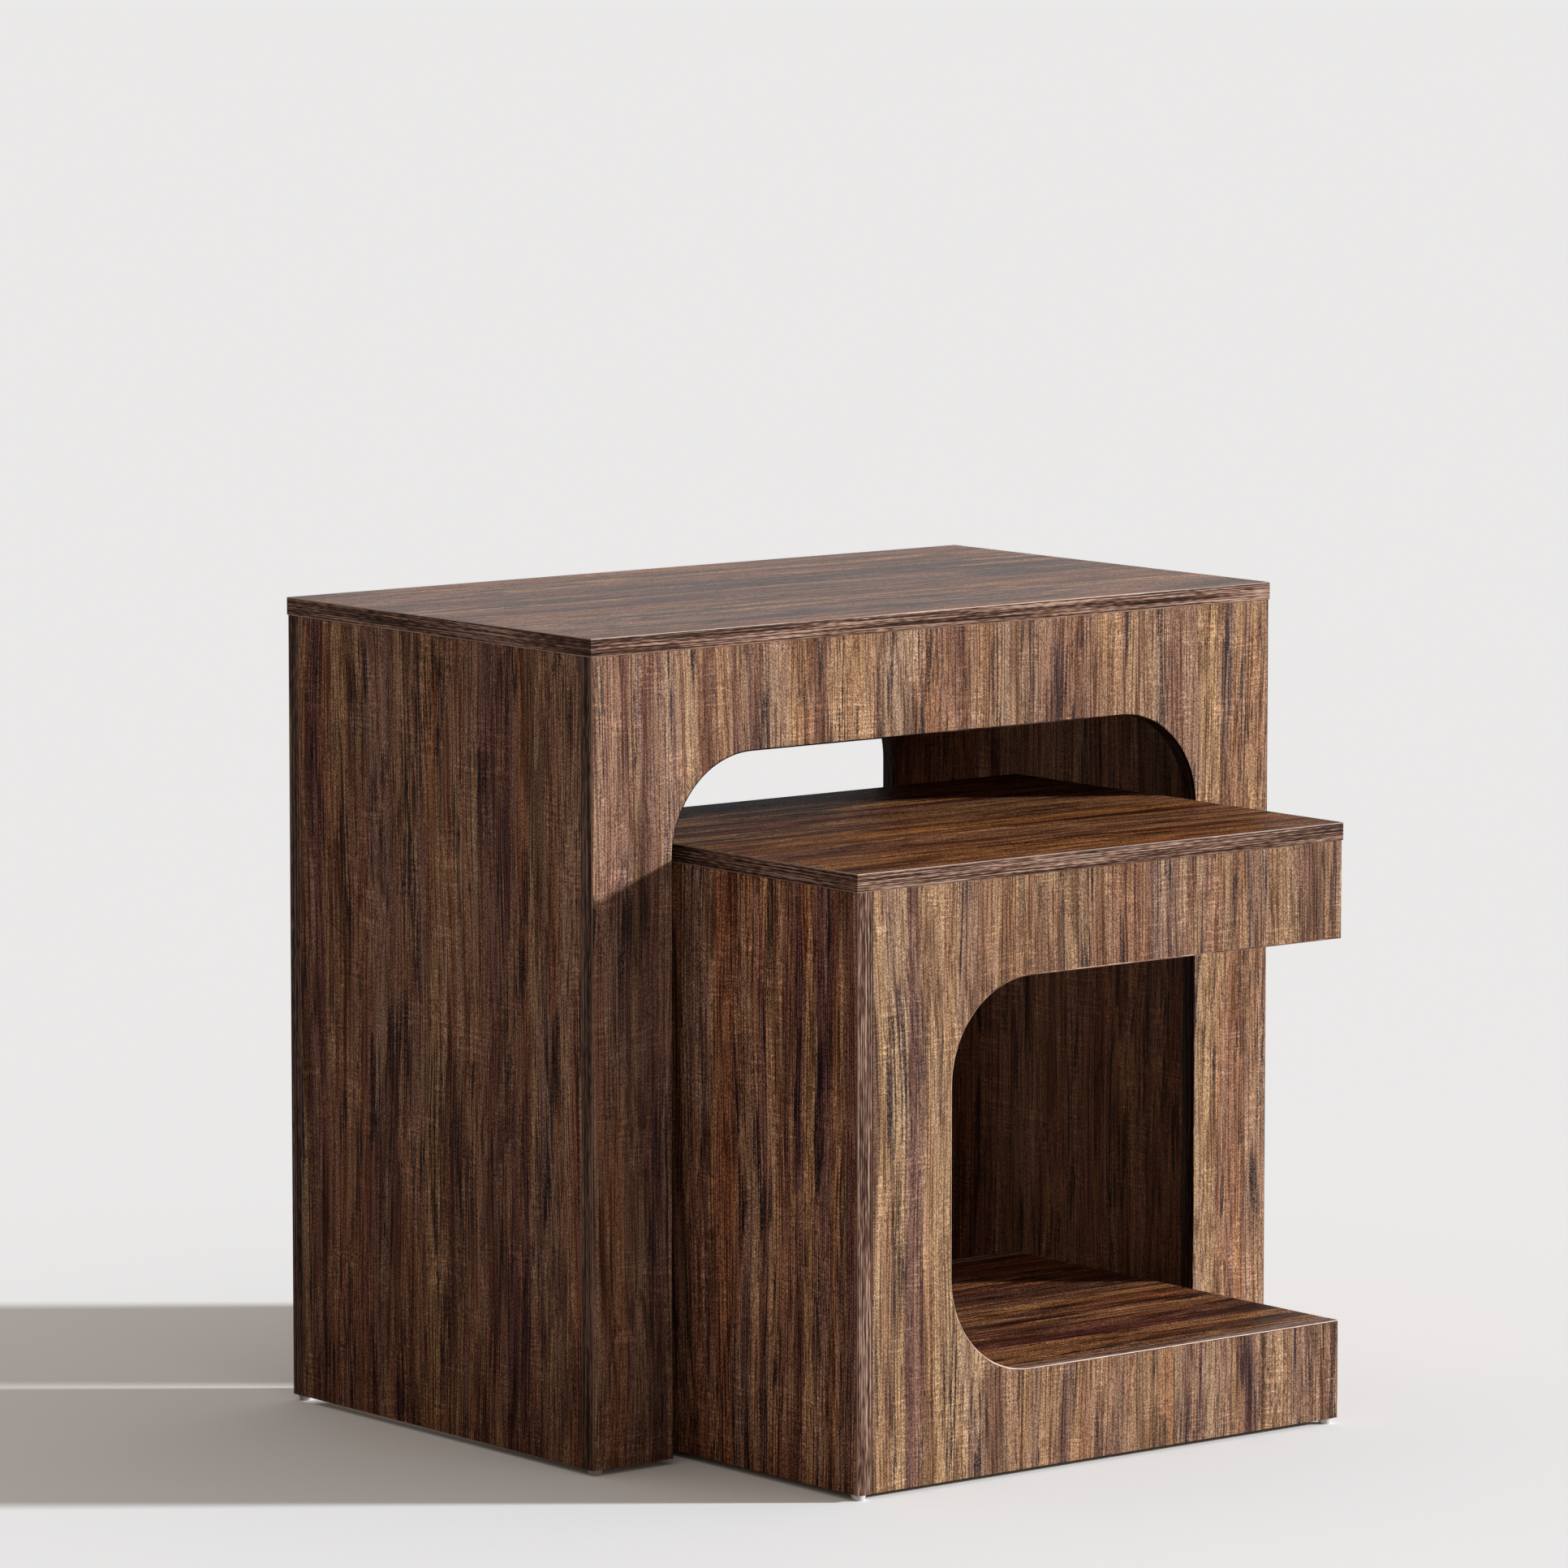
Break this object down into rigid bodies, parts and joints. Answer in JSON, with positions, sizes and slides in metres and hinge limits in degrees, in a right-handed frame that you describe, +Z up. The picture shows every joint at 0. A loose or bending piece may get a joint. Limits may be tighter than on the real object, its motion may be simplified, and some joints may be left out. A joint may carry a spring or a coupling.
{
  "type": "nesting tables",
  "caption": "Nesting side tables: a tall one on arch-shaped panels, over a lower C-shaped one with a shelf, which slides in beneath it and draws out to the front.",
  "frame": {"origin": "on the floor, in the middle of the area that the pair covers with the small table half drawn out", "axes": "+X to the right along the tables' long side, +Y to the back, +Z up"},
  "size_m": [0.58, 0.5024, 0.545],
  "materials": {
    "decor_board": "matt melamine face with a rustic walnut decor and a fine embossed grain",
    "edge_banding": "satin melamine edge banding in the same walnut decor",
    "zinc": "die-cast, dull",
    "plated_steel": "zinc plated",
    "beech": "raw, fluted",
    "glide_plastic": "moulded, satin"
  },
  "bodies": {
    "large_table": {"large_top": "decor_board", "large_top_edging": "edge_banding", "large_front_arch": "decor_board", "large_front_arch_edging": "edge_banding", "large_back_arch": "decor_board", "large_back_arch_edging": "edge_banding", "large_left_side": "decor_board", "large_right_side": "decor_board", "large_cams": "zinc", "large_cam_bolts": "plated_steel", "large_dowels": "beech", "large_glides": "glide_plastic", "large_glide_nails": "plated_steel"},
    "small_table": {"small_top": "decor_board", "small_top_edging": "edge_banding", "small_left_side": "decor_board", "small_left_side_edging": "edge_banding", "small_front_frame": "decor_board", "small_front_frame_edging": "edge_banding", "small_back_frame": "decor_board", "small_back_frame_edging": "edge_banding", "small_shelf": "decor_board", "small_shelf_edging": "edge_banding", "small_top_rail": "decor_board", "small_top_rail_edging": "edge_banding", "small_base_rail": "decor_board", "small_cams": "zinc", "small_cam_bolts": "plated_steel", "small_dowels": "beech", "small_glides": "glide_plastic", "small_glide_nails": "plated_steel"}
  },
  "joints": [
    {"name": "small_table_slide", "type": "slide", "parent": "large_table", "child": "small_table", "axis": [0, -1, 0], "range_m": [-0.1675, 0.2]}
  ]
}
